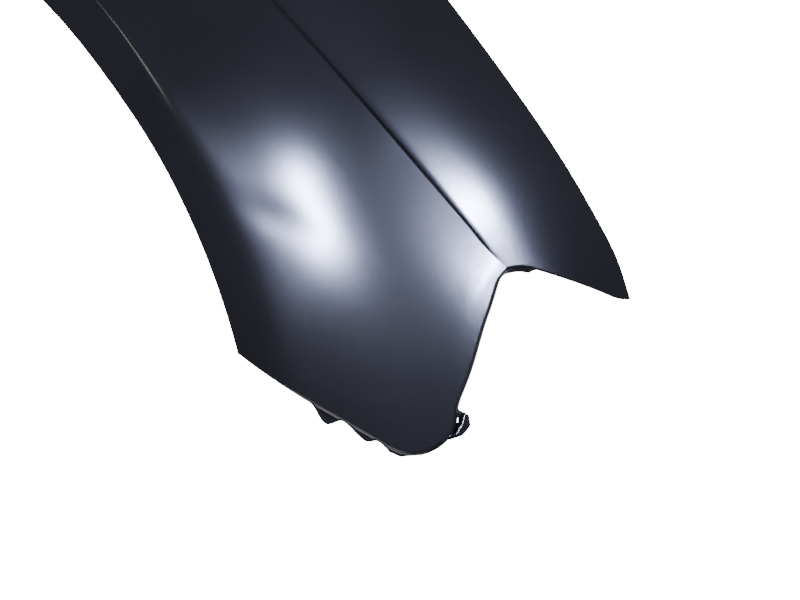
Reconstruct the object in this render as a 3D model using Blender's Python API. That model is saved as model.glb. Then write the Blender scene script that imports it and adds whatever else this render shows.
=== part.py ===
"""Front fender of a car, right-hand side, stamped from one sheet of steel.

Metres, +X forward, +Y to the left of the car (inboard), +Z up.
The outline and the skin are designed about the wheel centre, in three
numbers: x forward, out = distance outboard, z up.  The finished panel is then
moved so that the underside of the middle bolt pad is the origin.
"""
import math

import bmesh
import bpy
import numpy as np

# Sheet and bends
SHEET = 0.0008              # thickness of the steel
FOLD_END = 0.001            # last strip of a flange that has no second fold
EDGE_RADIUS = 0.0012        # bend between the skin and its return flanges

# Wheel arch, a circle about a point near the wheel centre
ARCH_RADIUS = 0.442
ARCH_RISE = 0.0075          # the arch is this much higher at its top than the circle
ARCH_RISE_SPAN = 24.0       # degrees each side of the top over which it rises
ARCH_CENTRE_X = 0.008
ARCH_CENTRE_Z = -0.0255
ARCH_FRONT_ANGLE = 42.0     # degrees above the horizontal, front end of the arch
BAND_WIDTH = 0.029          # flat band beside the arch edge
BAND_TILT = 0.225            # how far the band leans in, per metre of width
FLARE_HEIGHT = 0.0037        # how far the band stands proud of the skin
FLARE_REACH = 0.0095         # distance over which the flare dies out
BAND_CREASE = 0.0012        # half width of the crease where it is sharp
BAND_CREASE_SOFT = 0.0103   # and where it has washed out, near the bumper

# Landmarks of the arch, which the rest of the panel is laid out from: its front end, its rearmost
# point and its top
FRONT_X = ARCH_CENTRE_X + (ARCH_RADIUS + EDGE_RADIUS) * math.cos(math.radians(ARCH_FRONT_ANGLE))
FRONT_Z = ARCH_CENTRE_Z + (ARCH_RADIUS + EDGE_RADIUS) * math.sin(math.radians(ARCH_FRONT_ANGLE))
REAR_X = ARCH_CENTRE_X - ARCH_RADIUS - EDGE_RADIUS
TOP_Z = ARCH_CENTRE_Z + ARCH_RADIUS + EDGE_RADIUS + ARCH_RISE


def shifted(start, *places):
    """The places, given as distances from the start."""
    return tuple(start + place for place in places)


SOFT_FROM = FRONT_X - 0.187   # the arch crease starts to wash out here
SOFT_TO = FRONT_X - 0.007     # and has done so here

# Character line: x, out, z
LINE_X = (
    shifted(REAR_X, -0.1248, 0.0852) + shifted(ARCH_CENTRE_X, -0.1080, 0.1420)
    + shifted(FRONT_X, 0.0126, 0.1626)
)
LINE_OUT = (-0.062, -0.0540, -0.0483, -0.0456, -0.0661, -0.1021)
LINE_Z = shifted(TOP_Z, 0.1968, 0.1812, 0.1411, 0.0801, 0.0091, -0.0653)
STEP_DEPTH = 0.0030         # the skin under the line lies this much deeper
STEP_WIDTH = 0.0040         # height of the step face
STEP_EDGE = 2.2             # how crisp the face's upper edge is: 1 is a flat face
STEP_RETURN = 0.066         # distance over which the skin comes back out
STEP_FADE_FROM = 0.098      # distance behind the lamp corner where the step starts to fade
STEP_FADE_TO = 0.008        # and where it is gone

# Hood edge: x, out, z
HOOD_X = (
    shifted(REAR_X, -0.1248, 0.1352) + shifted(ARCH_CENTRE_X, -0.0080, 0.1920)
    + shifted(FRONT_X, -0.0309, 0.0426, 0.1026, 0.1281, 0.1434, 0.1521, 0.1651)
)
HOOD_Z = shifted(
    TOP_Z, 0.2848, 0.2498, 0.1766, 0.1141, 0.0705, 0.0356, 0.0016, -0.0156, -0.0270, -0.0352, -0.0500,
)
HOOD_OUT_X = LINE_X
HOOD_OUT = (-0.144, -0.1382, -0.1346, -0.1406, -0.1503, -0.1650)

# Lean of the skin from the vertical, degrees: over the rear of the panel, and at its front
LEAN_OVER_LINE = (47.2, 57.7)
LEAN_UNDER_LINE = (34.4, 24.4)
LEAN_LOW = (6.4, 13.4)
LEAN_FROM = ARCH_CENTRE_X - 0.108
LEAN_TO = FRONT_X + 0.113
LEAN_DECAY = 0.144          # drop over which the lean under the line dies out
BELLY = 0.131               # lower body tucks in by this times the drop squared

# Edges seen from the side: x, z.  The bumper joint starts at the front end of the arch and
# ends, like the lamp edge, in the middle of the rounded lower front corner.
BUMPER_X = shifted(FRONT_X, 0.0296, 0.0685, 0.1085, 0.1238, 0.1340, 0.1399, 0.1427)
BUMPER_Z = shifted(FRONT_Z, -0.0041, -0.0087, -0.0132, -0.0137, -0.0086, -0.0007, 0.0070)
LAMP_X = shifted(FRONT_X, 0.1427, 0.1418, 0.1392, 0.1365, 0.1323, 0.1287, 0.1243, 0.1221)
LAMP_Z = shifted(FRONT_Z, 0.0070, 0.0131, 0.0194, 0.0343, 0.0566, 0.0712, 0.0915, 0.1031)
NOTCH_X = FRONT_X + 0.1231    # top corner of the lamp opening, on the character line
# Lower edge of the nose: x at shares of the way from the character line to the hood edge
NOSE_T = (0.0, 0.06, 0.12, 0.19, 0.25, 0.37, 0.49, 0.62, 0.75, 0.88, 1.0)
NOSE_AHEAD = (0.0, 0.0013, 0.0032, 0.0070, 0.0113, 0.0196, 0.0268, 0.0331, 0.0379, 0.0413, 0.0417)
NOSE_REACH_BACK = 0.078     # this far behind that corner the cross-sections are square to the car
DOOR_Z = (0.45, 0.25, 0.05, -0.17)
DOOR_X = shifted(REAR_X, -0.0748, -0.0668, -0.0648, -0.0548)
DOOR_TOP_X = REAR_X - 0.089    # rear end of the character line
HOOD_REAR_X = REAR_X - 0.067   # rear end of the hood edge
ROCKER_Z = -0.17

# Return flanges
LIP = 0.014                 # arch lip, turned straight in
DOOR_FLANGE = 0.013
DOOR_TAB = 0.030            # widened for the hinge-pillar bolt
DOOR_TAB_Z = 0.40
ROCKER_FLANGE = 0.024
LAMP_FLANGE = 0.008
NOSE_FLANGE = 0.006
LOCATING_TAB = 0.011        # deeper tab at the top corner of the lamp opening
BUMPER_STEP = 0.005         # joggle behind the bumper joint
# Scallops of the bumper flange: distance ahead of the arch's front end, run-in, run-out, depth
LOBES = (
    (0.0716, 0.016, 0.0085, 0.0067),
    (0.0987, 0.019, 0.0065, 0.0038),
    (0.1189, 0.012, 0.0055, 0.0029),
)
TAB_WALL = 0.0085           # tab beside the lower corner of the lamp opening: deepest wall
TAB_WIDTH = 0.0062          # widest part of its outer strip
TAB_LENGTH = 0.0122         # from the corner up
TAB_DIRECTION = (0.80, 0.30, 0.25)
TAB_SLOT_LENGTH = 0.0036    # small slot in the tab's wall
TAB_SLOT_WIDTH = 0.0016
TAB_SLOT_UP = 0.0085        # from the corner up
TAB_SLOT_IN = 0.0032        # from the skin in
HOOD_WALL = 0.026           # wall between the hood edge and the bolt ledge
LEDGE = 0.012               # ledge between pads
PAD = 0.024                 # ledge at a bolt pad
PAD_X = shifted(FRONT_X, -0.104) + shifted(ARCH_CENTRE_X, 0.0, -0.235) + shifted(REAR_X, -0.012)
PAD_HALF_LENGTH = 0.024
PAD_RAMP = 0.018
BOLT_HOLE = 0.0090
SLOT_LENGTH = 0.0150        # slots in every second bolt pad
HOLE_AHEAD = 0.011          # the holes lie this far in front of a pad's middle
LIP_HOLE = 0.0065           # for the liner's clips, in the arch lip
LIP_HOLE_ANGLES = (62.0, 88.0, 114.0, 140.0, 166.0)
ROCKER_HOLE_FROM_DOOR = 0.050

# Direction of the rim's wall from each place on: zone, distance past its start, blend, direction
WALL_TURNS = (
    ("lamp", -0.002, 0.010, (-0.08, 0.98, -0.08)),
    ("lamp", 0.0131, 0.0018, (-0.50, 0.85, -0.15)),
    ("nose", 0.004, 0.030, (-0.88, 0.35, -0.32)),
    ("hood", 0.012, 0.024, (0.0, 0.0, -1.0)),
    ("door", 0.000, 0.030, (0.0, 1.0, 0.0)),
)

# Sizes of the rim: zone, distance past its start, depth of the wall, width of the ledge beyond it
RIM_SIZES = (
    ("bumper", 0.000, LIP, FOLD_END),
    ("bumper", 0.008, LIP, FOLD_END),
    ("bumper", 0.020, BUMPER_STEP, FOLD_END),
    ("lamp", -0.030, BUMPER_STEP, FOLD_END),
    ("lamp", -0.012, TAB_WALL * 0.2, FOLD_END),
    ("lamp", -0.004, TAB_WALL * 0.2, FOLD_END),
    ("lamp", 0.000, TAB_WALL * 0.5, TAB_WIDTH * 0.85),
    ("lamp", TAB_LENGTH * 0.5, TAB_WALL * 0.8, TAB_WIDTH),
    ("lamp", TAB_LENGTH, TAB_WALL, TAB_WIDTH * 0.5),
    ("lamp", TAB_LENGTH * 1.1, LAMP_FLANGE, FOLD_END),
    ("nose", -0.012, LAMP_FLANGE, FOLD_END),
    ("nose", -0.003, LOCATING_TAB, FOLD_END),
    ("nose", 0.017, LOCATING_TAB, FOLD_END),
    ("nose", 0.021, NOSE_FLANGE, FOLD_END),
    ("hood", 0.000, NOSE_FLANGE, FOLD_END),
    ("cowl", 0.000, HOOD_WALL, LEDGE),
    ("door", -0.010, HOOD_WALL, FOLD_END),
    ("door", 0.010, DOOR_FLANGE, FOLD_END),
    ("door_tab", -0.045, DOOR_FLANGE, FOLD_END),
    ("door_tab", -0.025, DOOR_TAB, FOLD_END),
    ("door_tab", 0.025, DOOR_TAB, FOLD_END),
    ("door_tab", 0.045, DOOR_FLANGE, FOLD_END),
    ("rocker", -0.030, DOOR_FLANGE, FOLD_END),
    ("rocker", -0.004, ROCKER_FLANGE, FOLD_END),
    ("arch", -0.004, ROCKER_FLANGE, FOLD_END),
    ("arch", 0.020, LIP, FOLD_END),
    ("end", 0.000, LIP, FOLD_END),
)
RIM_BLEND = 0.020           # length over which the rim turns at a corner
LEDGE_GROWTH = 0.050        # length over which the hood wall and its ledge grow behind the nose
HOOD_REAR_BLEND = 0.050     # length over which the rear end of the strip is cut slanting
LOBES_END = 0.010           # the scallops stop this far before the lamp corner
TAB_LEAD = 0.007            # the corner tab's strip starts this far before it
TAB_BLEND = 0.003           # length over which it turns

# Fineness of the mesh
TINY = 1e-4                 # share of a column's length, for finding slopes
HOLE_SIDES = 16
CUT_DEPTH = 0.004           # cutters reach this far each side of the sheet
SHARP_ANGLE = 35.0
TAB_STATIONS = (0.0, 0.30, 0.60, 0.86, 1.0, 1.12)    # columns at the tab, in tab lengths
LAMP_CELLS = 9              # columns from the tab up to the top of the lamp opening
LINE_CELL = 0.034           # longest cell along the character line
NOSE_CELL = 0.011           # and in front of the last pad
DOOR_CELLS = 16
LAMP_TURN = 54.0            # arch angle, degrees, that faces the top of the lamp edge
LAST_CELL = 0.004           # shortest cell at the rear end of the line
DOOR_TURN = 147.0           # and the one that faces the rear end of the character line
BAND_ROWS = (0.0, 0.5, 1.0, 1.25)    # rows beside the arch, in band widths
SKIN_ROWS = 14              # rows between those and the ones beside the outer edge
LINE_ROWS = (0.012, STEP_WIDTH, 0.0)     # distances of the last rows from the outer edge
STRIP_ROWS = (0.0, 0.03, 0.15, 0.35, 0.58, 0.80, 1.0)


def natural_spline(knots, values):
    """The smooth curve through the points (natural cubic), straight beyond its ends."""
    knots = np.array(knots, float)
    values = np.array(values, float)
    gap = np.diff(knots)
    count = len(knots)
    system = np.eye(count)
    load = np.zeros(count)
    for i in range(1, count - 1):
        system[i, i - 1:i + 2] = (gap[i - 1], 2 * (gap[i - 1] + gap[i]), gap[i])
        load[i] = 6 * ((values[i + 1] - values[i]) / gap[i] - (values[i] - values[i - 1]) / gap[i - 1])
    bend = np.linalg.solve(system, load)
    slope_in = (values[1] - values[0]) / gap[0] - gap[0] * (2 * bend[0] + bend[1]) / 6
    slope_out = (values[-1] - values[-2]) / gap[-1] + gap[-1] * (bend[-2] + 2 * bend[-1]) / 6

    def curve(x):
        x = np.asarray(x, float)
        held = np.clip(x, knots[0], knots[-1])
        i = np.clip(np.searchsorted(knots, held, side="right") - 1, 0, count - 2)
        after = held - knots[i]
        before = knots[i + 1] - held
        y = (bend[i] * before ** 3 + bend[i + 1] * after ** 3) / (6 * gap[i])
        y += (values[i] / gap[i] - bend[i] * gap[i] / 6) * before
        y += (values[i + 1] / gap[i] - bend[i + 1] * gap[i] / 6) * after
        return y + np.minimum(x - knots[0], 0) * slope_in + np.maximum(x - knots[-1], 0) * slope_out

    return curve


def ease(t):
    """0 below 0, 1 above 1, and a smooth S between."""
    t = np.clip(t, 0, 1)
    return t * t * (3 - 2 * t)


def soft_ramp(d, width):
    """0 for negative d, d for positive d, rounded over the width."""
    return width * np.logaddexp(0, d / width)


line_out = natural_spline(LINE_X, LINE_OUT)
line_z = natural_spline(LINE_X, LINE_Z)
hood_out = natural_spline(HOOD_OUT_X, HOOD_OUT)
hood_z = natural_spline(HOOD_X, HOOD_Z)


def arch_edge_radius(angle):
    """Radius of the skin's edge at an angle in degrees: the opening and its bend, and a rise at the top."""
    return ARCH_RADIUS + EDGE_RADIUS + ARCH_RISE * ease(1 - np.abs(angle - 90) / ARCH_RISE_SPAN)


def arch_distance(x, z):
    """Distance outward from the arch edge, in the side view."""
    angle = np.degrees(np.arctan2(z - ARCH_CENTRE_Z, x - ARCH_CENTRE_X))
    return np.hypot(x - ARCH_CENTRE_X, z - ARCH_CENTRE_Z) - arch_edge_radius(angle)


def flare(x, z):
    """How far the wheel-arch flare stands proud: a tilted band, a crease, then an exponential fade."""
    d = arch_distance(x, z)
    softness = ease((x - SOFT_FROM) / (SOFT_TO - SOFT_FROM))
    width = BAND_CREASE + (BAND_CREASE_SOFT - BAND_CREASE) * softness
    height = FLARE_HEIGHT * np.exp(-soft_ramp(d - BAND_WIDTH, width) / FLARE_REACH)
    return height - BAND_TILT * soft_ramp(BAND_WIDTH - d, width)


def step(x, drop):
    """How deep the skin lies under the line: a crisp edge, a short face with a soft foot, a slow return."""
    depth = STEP_DEPTH * ease((NOTCH_X - STEP_FADE_TO - x) / (STEP_FADE_FROM - STEP_FADE_TO))
    face = 1 - (1 - np.clip(drop / STEP_WIDTH, 0, 1)) ** STEP_EDGE
    return depth * face * np.exp(-np.maximum(drop - STEP_WIDTH, 0) / STEP_RETURN)


def lean(angles, x):
    """Lean in radians: the first angle over the rear of the panel, turning to the second at its front."""
    rear, front = angles
    return np.radians(rear + (front - rear) * ease((x - LEAN_FROM) / (LEAN_TO - LEAN_FROM)))


def side_skin(x, z):
    """Skin under the character line.  It leans a lot at the line and the lean dies out downward."""
    low = np.tan(lean(LEAN_LOW, x))
    high = np.tan(lean(LEAN_UNDER_LINE, x))
    drop = line_z(x) - z
    out = line_out(x) + low * drop - BELLY * drop * np.abs(drop)
    out += (high - low) * LEAN_DECAY * (1 - np.exp(-drop / LEAN_DECAY))
    out += flare(x, z) - step(x, drop)
    return np.stack([x, -out, z], -1)


def strip_skin(x, t):
    """Skin over the line: in each cross-section a shallow arc, t = 0 on the line, 1 on the hood edge."""
    d_out = hood_out(x) - line_out(x)
    d_z = hood_z(x) - line_z(x)
    chord = np.hypot(d_out, d_z)
    slope = np.arctan2(-d_out, d_z)
    rise = chord * np.tan((slope - lean(LEAN_OVER_LINE, x)) / 2) * 2 * t * (1 - t)
    out = line_out(x) + d_out * t + rise * np.cos(slope)
    z = line_z(x) + d_z * t + rise * np.sin(slope)
    out += flare(x, z)
    return np.stack([x, -out, z], -1)


def edge_curve(xs, zs):
    """A smooth side-view curve through the points: a function of its length's share, and that length."""
    xs = np.array(xs, float)
    zs = np.array(zs, float)
    reach = np.concatenate([[0], np.cumsum(np.hypot(np.diff(xs), np.diff(zs)))])
    curve_x = natural_spline(reach, xs)
    curve_z = natural_spline(reach, zs)
    fine = np.linspace(0, reach[-1], 60 * len(xs))
    length = np.concatenate([[0], np.cumsum(np.hypot(np.diff(curve_x(fine)), np.diff(curve_z(fine))))])

    def point(share):
        at = np.interp(share * length[-1], length, fine)
        return np.stack([curve_x(at), curve_z(at)], -1)

    return point, length[-1]


def arch_point(angle):
    """Point of the arch edge in the side view, at an angle in degrees above the horizontal."""
    turn = np.radians(angle)
    radius = arch_edge_radius(angle)
    return np.stack([ARCH_CENTRE_X + radius * np.cos(turn), ARCH_CENTRE_Z + radius * np.sin(turn)], -1)


def line_stations():
    """x of the cross-sections along the line: the ends of the bolt pads, and enough more between them."""
    fixed = [NOTCH_X, NOTCH_X - NOSE_REACH_BACK, DOOR_TOP_X]
    for pad in PAD_X:
        half = PAD_HALF_LENGTH
        behind = max(pad - half - PAD_RAMP, DOOR_TOP_X + LAST_CELL)
        fixed += [pad - half, pad, pad + half, pad + half + PAD_RAMP, behind]
    fixed = np.sort(np.array(fixed))[::-1]
    stations = []
    for a, b in zip(fixed[:-1], fixed[1:]):
        cells = max(1, math.ceil((a - b) / (NOSE_CELL if b > PAD_X[0] else LINE_CELL)))
        stations.append(np.linspace(a, b, cells + 1)[:-1])
    return np.concatenate(stations + [[DOOR_TOP_X]])


def side_patch(line_x):
    """Grid of the skin between the arch and the outer edge, rows by columns, and its corner columns.

    Each column runs straight from a point of the arch to one of the outer edge, and near the two
    ends it is bent to follow the bumper joint and the rocker.
    """
    rear_angle = 180 + math.degrees(math.asin((ARCH_CENTRE_Z - ROCKER_Z) / (ARCH_RADIUS + EDGE_RADIUS)))
    lamp, lamp_length = edge_curve(LAMP_X + (NOTCH_X,), LAMP_Z + (float(line_z(NOTCH_X)),))
    door, _ = edge_curve((DOOR_TOP_X,) + DOOR_X, (float(line_z(DOOR_TOP_X)),) + DOOR_Z)
    line = np.stack([line_x, line_z(line_x)], -1)
    at_tab = np.array(TAB_STATIONS) * TAB_LENGTH / lamp_length
    lamp_share = np.concatenate([at_tab, np.linspace(at_tab[-1], 1, LAMP_CELLS + 1)[1:]])
    cells = (len(lamp_share) - 1, len(line_x) - 1, DOOR_CELLS)
    line_share = (line_x[0] - line_x) / (line_x[0] - line_x[-1])
    turns = np.concatenate([
        ARCH_FRONT_ANGLE + (LAMP_TURN - ARCH_FRONT_ANGLE) * lamp_share,
        LAMP_TURN + (DOOR_TURN - LAMP_TURN) * line_share[1:],
        np.linspace(DOOR_TURN, rear_angle, cells[2] + 1)[1:],
    ])
    arch = arch_point(turns)
    lamp_points = lamp(lamp_share)
    door_points = door(np.linspace(0, 1, cells[2] + 1))
    outer = np.concatenate([lamp_points, line[1:], door_points[1:]])
    bumper, _ = edge_curve((arch[0, 0],) + BUMPER_X, (arch[0, 1],) + BUMPER_Z)
    rocker, _ = edge_curve((arch[-1, 0], outer[-1, 0]), (ROCKER_Z, ROCKER_Z))
    share = (turns - turns[0]) / (turns[-1] - turns[0])
    at_bumper = 1 - ease(share / 0.12)
    at_rocker = ease((share - 0.9) / 0.1)

    def place(v):
        v2 = v[..., None]
        straight = arch + (outer - arch) * v2
        bend_front = bumper(v) - (arch[0] + (outer[0] - arch[0]) * v2)
        bend_rear = rocker(v) - (arch[-1] + (outer[-1] - arch[-1]) * v2)
        return straight + at_bumper[:, None] * bend_front + at_rocker[:, None] * bend_rear

    width = np.hypot(*(outer - arch).T)
    band = np.array(BAND_ROWS)[:, None] * BAND_WIDTH
    v_band = band / width
    for _ in range(8):
        reached = arch_distance(*np.moveaxis(place(v_band), -1, 0))
        ahead = arch_distance(*np.moveaxis(place(v_band + TINY), -1, 0))
        v_band = v_band + (band - reached) / (ahead - reached) * TINY
    v_outer = 1 - np.array(LINE_ROWS)[:, None] / width
    between = (np.arange(1, SKIN_ROWS) / SKIN_ROWS)[:, None]
    v_skin = v_band[-1] + (v_outer[0] - v_band[-1]) * between
    v = np.concatenate([v_band, v_skin, v_outer])
    flat = place(v)
    return side_skin(flat[..., 0], flat[..., 1]), cells


def strip_patch(line_x):
    """Grid of the skin over the line, rows from the line to the hood edge."""
    t = np.array(STRIP_ROWS)[:, None]
    nose = natural_spline(NOSE_T, NOSE_AHEAD)
    forward = ease((line_x - NOTCH_X) / NOSE_REACH_BACK + 1)
    back = ease((DOOR_TOP_X - line_x) / HOOD_REAR_BLEND + 1)
    x = line_x + forward * nose(t) + back * (HOOD_REAR_X - DOOR_TOP_X) * t
    return strip_skin(x, t + 0 * x)


def unit(v):
    return v / np.linalg.norm(v, axis=-1, keepdims=True)


def grid_normals(grid):
    """Outward normals of a grid of points, from the differences along its rows and columns."""
    return unit(np.cross(np.gradient(grid, axis=0), np.gradient(grid, axis=1)))


def rim_table(zone_start, entries):
    """Places along the outline, and two sizes at each: (zone, distance past its start, size, size)."""
    rows = sorted((zone_start[zone] + past, a, b) for zone, past, a, b in entries)
    return np.array(rows)


def lobe(x, centre, run_in, run_out, depth):
    """A scallop: a raised cosine, drawn out to one side."""
    d = x - centre
    d = np.clip(np.where(d < 0, d / run_in, d / run_out), -1, 1)
    return depth * (0.5 + 0.5 * np.cos(math.pi * d))


def ledge_drop(x):
    """Height of the bolt ledge: it follows the hood edge, and is level at each pad."""
    z = hood_z(x) - HOOD_WALL
    for pad in PAD_X:
        level = hood_z(pad) - HOOD_WALL
        away = np.abs(x - pad) - PAD_HALF_LENGTH
        z = z + (level - z) * (1 - ease(away / PAD_RAMP))
    return z


def ledge_width(x):
    """Width of the bolt ledge: wide at each pad and narrow between them."""
    width = LEDGE + 0 * x
    for pad in PAD_X:
        away = np.abs(x - pad) - PAD_HALF_LENGTH
        width = width + (PAD - LEDGE) * (1 - ease(away / PAD_RAMP))
    return width


def outline_loop(side, strip, cells):
    """Points, normals and zone starts around the whole edge of the skin, from the front end of the arch."""
    lamp, line, door = cells
    n_side = grid_normals(side)
    n_strip = grid_normals(strip)
    zones = (
        ("bumper", side[:, 0], n_side[:, 0]),
        ("lamp", side[-1, 1:lamp + 1], n_side[-1, 1:lamp + 1]),
        ("nose", strip[1:, 0], n_strip[1:, 0]),
        ("hood", strip[-1, 1:], n_strip[-1, 1:]),
        ("cowl", strip[-2::-1, -1], n_strip[-2::-1, -1]),
        ("door", side[-1, lamp + line + 1:], n_side[-1, lamp + line + 1:]),
        ("rocker", side[-2::-1, -1], n_side[-2::-1, -1]),
        ("arch", side[0, -2:0:-1], n_side[0, -2:0:-1]),
    )
    points = np.concatenate([z[1] for z in zones])
    normals = np.concatenate([z[2] for z in zones])
    ahead = np.roll(points, -1, 0) - points
    length = np.linalg.norm(ahead, axis=1)
    s = np.concatenate([[0], np.cumsum(length)[:-1]])
    counts = np.cumsum([0] + [len(z[1]) for z in zones])
    # A zone starts at the corner, which is the last point of the zone before it.
    start = {z[0]: s[max(c - 1, 0)] for z, c in zip(zones, counts)}
    start["end"] = s[-1] + length[-1]
    start["door_tab"] = start["door"] + float(line_z(DOOR_TOP_X)) - DOOR_TAB_Z
    before = points - np.roll(points, 1, 0)
    tangent = unit(unit(ahead) + unit(before))
    outward = unit(np.cross(tangent, normals))
    return points, normals, outward, s, start


def wall_direction(s, start, inward):
    """Which way the wall of the rim turns: square to the skin at the bumper joint, back past square
    round the lamp opening, straight down along the hood edge, and straight inboard along the rest."""
    direction = inward
    for zone, past, blend, new in WALL_TURNS:
        t = ease((s - start[zone] - past) / blend + 0.5)[:, None]
        direction = direction * (1 - t) + np.array(new) * t
    t = (1 - ease(s / RIM_BLEND))[:, None]
    return unit(direction * (1 - t) + np.array((0.0, 1.0, 0.0)) * t)


def rim_sizes(points, s, start):
    """Depth of the rim's wall and width of the ledge beyond it, at every point of the outline."""
    table = rim_table(start, RIM_SIZES)
    wall = np.interp(s, table[:, 0], table[:, 1])
    ledge = np.interp(s, table[:, 0], table[:, 2])
    x = points[:, 0]
    in_hood = (s > start["hood"] - 1e-6) & (s <= start["cowl"] + 1e-6)
    grown = ease((s - start["hood"]) / LEDGE_GROWTH)
    wall = np.where(in_hood, NOSE_FLANGE + (hood_z(x) - ledge_drop(x) - NOSE_FLANGE) * grown, wall)
    ledge = np.where(in_hood, FOLD_END + (ledge_width(x) - FOLD_END) * grown, ledge)
    for ahead, run_in, run_out, depth in LOBES:
        hanging = lobe(x, FRONT_X + ahead, run_in, run_out, depth)
        ledge = ledge + np.where(s < start["lamp"] - LOBES_END, hanging, 0)
    return wall, ledge


def rim(points, normals, outward, s, start):
    """Rows of the rim: two around the bend, the foot of the wall and the end of the ledge."""
    turn = wall_direction(s, start, -normals)
    wall, ledge = rim_sizes(points, s, start)
    x = points[:, 0]
    # The ledge runs inboard along the hood edge, and hangs in line with the skin at the bumper joint.
    inboard = np.array((0.0, 1.0, 0.0))
    past_door = ease((s - start["door"]) / RIM_BLEND)
    hood = (ease((s - start["hood"]) / RIM_BLEND + 1) * (1 - past_door))[:, None]
    front = (1 - ease((s - start["lamp"] - TAB_LENGTH) / TAB_BLEND))[:, None]
    tab = ease((s - start["lamp"] + TAB_LEAD) / TAB_BLEND)[:, None]
    hanging = outward * (1 - tab) + np.array(TAB_DIRECTION) * tab
    sideways = unit(turn * (1 - hood) * (1 - front) + inboard * hood + hanging * front)
    r = EDGE_RADIUS
    angles = (math.pi / 4, math.pi / 2)
    bend = [points + r * (outward * math.sin(a) + turn * (1 - math.cos(a))) for a in angles]
    foot = points + r * outward + turn * wall[:, None]
    on_hood = (s > start["hood"] + LEDGE_GROWTH) & (s < start["cowl"] - SHEET)
    foot[:, 2] = np.where(on_hood, ledge_drop(x), foot[:, 2])
    end = foot + sideways * ledge[:, None]
    return np.stack(bend + [foot, end])


def sheet_mesh():
    """The sheet's outer face: skin, strip and rim as one surface.  Returns points and quads."""
    line_x = line_stations()
    side, cells = side_patch(line_x)
    strip = strip_patch(line_x)
    lamp, line, door = cells
    rows, columns = side.shape[:2]
    side_index = np.arange(rows * columns).reshape(rows, columns)
    upper = np.arange((len(strip) - 1) * (line + 1)).reshape(-1, line + 1) + rows * columns
    strip_index = np.concatenate([side_index[-1:, lamp:lamp + line + 1], upper])
    loop_index = np.concatenate([
        side_index[:, 0], side_index[-1, 1:lamp + 1], strip_index[1:, 0], strip_index[-1, 1:],
        strip_index[-2::-1, -1], side_index[-1, lamp + line + 1:], side_index[-2::-1, -1],
        side_index[0, -2:0:-1],
    ])
    points, normals, outward, s, start = outline_loop(side, strip, cells)
    rows_of_rim = rim(points, normals, outward, s, start)
    first = rows * columns + upper.size
    added = np.arange(rows_of_rim[..., 0].size).reshape(len(rows_of_rim), -1) + first
    rim_index = np.concatenate([loop_index[None], added])
    quads = []
    for grid in (side_index, strip_index, np.concatenate([rim_index, rim_index[:, :1]], 1)):
        a, b, c, d = grid[:-1, :-1], grid[:-1, 1:], grid[1:, 1:], grid[1:, :-1]
        quads.append(np.stack([a, b, c, d], -1).reshape(-1, 4))
    every = np.concatenate([side.reshape(-1, 3), strip[1:].reshape(-1, 3), rows_of_rim.reshape(-1, 3)])
    return every, np.concatenate(quads)


def pad_point(pad, ahead=0.0):
    """A point on the upper face of a bolt pad, on its middle line."""
    y = -float(hood_out(pad)) + EDGE_RADIUS + PAD / 2
    return np.array((pad + ahead, y, float(ledge_drop(np.array(pad)))))


def frame_origin():
    """Underside of the second bolt pad, behind its hole."""
    return pad_point(PAD_X[1], -HOLE_AHEAD / 2) - np.array((0, 0, SHEET))


def tab_wall_point(origin):
    """Where the small slot lies in the corner tab: its middle, the edge's direction and the wall's."""
    side, cells = side_patch(line_stations())
    points, normals, outward, s, start = outline_loop(side, strip_patch(line_stations()), cells)
    at = int(np.argmin(np.abs(s - start["lamp"] - TAB_SLOT_UP)))
    turn = wall_direction(s, start, -normals)[at]
    middle = points[at] + EDGE_RADIUS * outward[at] + turn * TAB_SLOT_IN
    return middle - origin, points[at + 1] - points[at - 1], turn


def slot_prism(work, centre, along, across, length, width):
    """Adds a closed prism with round ends to the mesh being built: a cutter for a round or long hole."""
    along = unit(np.array(along, float))
    across = np.array(across, float)
    across = unit(across - along * (across @ along))
    through = np.cross(along, across)
    half = (length - width) / 2
    turns = np.linspace(-math.pi / 2, math.pi / 2, HOLE_SIDES // 2 + 1)
    u = np.concatenate([half + width / 2 * np.cos(turns), -half - width / 2 * np.cos(turns)])
    v = np.concatenate([width / 2 * np.sin(turns), -width / 2 * np.sin(turns)])
    if half == 0:
        u = width / 2 * np.cos(np.arange(HOLE_SIDES) * 2 * math.pi / HOLE_SIDES)
        v = width / 2 * np.sin(np.arange(HOLE_SIDES) * 2 * math.pi / HOLE_SIDES)
    ring = centre + u[:, None] * along + v[:, None] * across
    low = [work.verts.new(p) for p in ring - through * CUT_DEPTH]
    high = [work.verts.new(p) for p in ring + through * CUT_DEPTH]
    work.faces.new(low[::-1])
    work.faces.new(high)
    for i in range(len(low)):
        j = (i + 1) % len(low)
        work.faces.new((low[i], low[j], high[j], high[i]))


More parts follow.
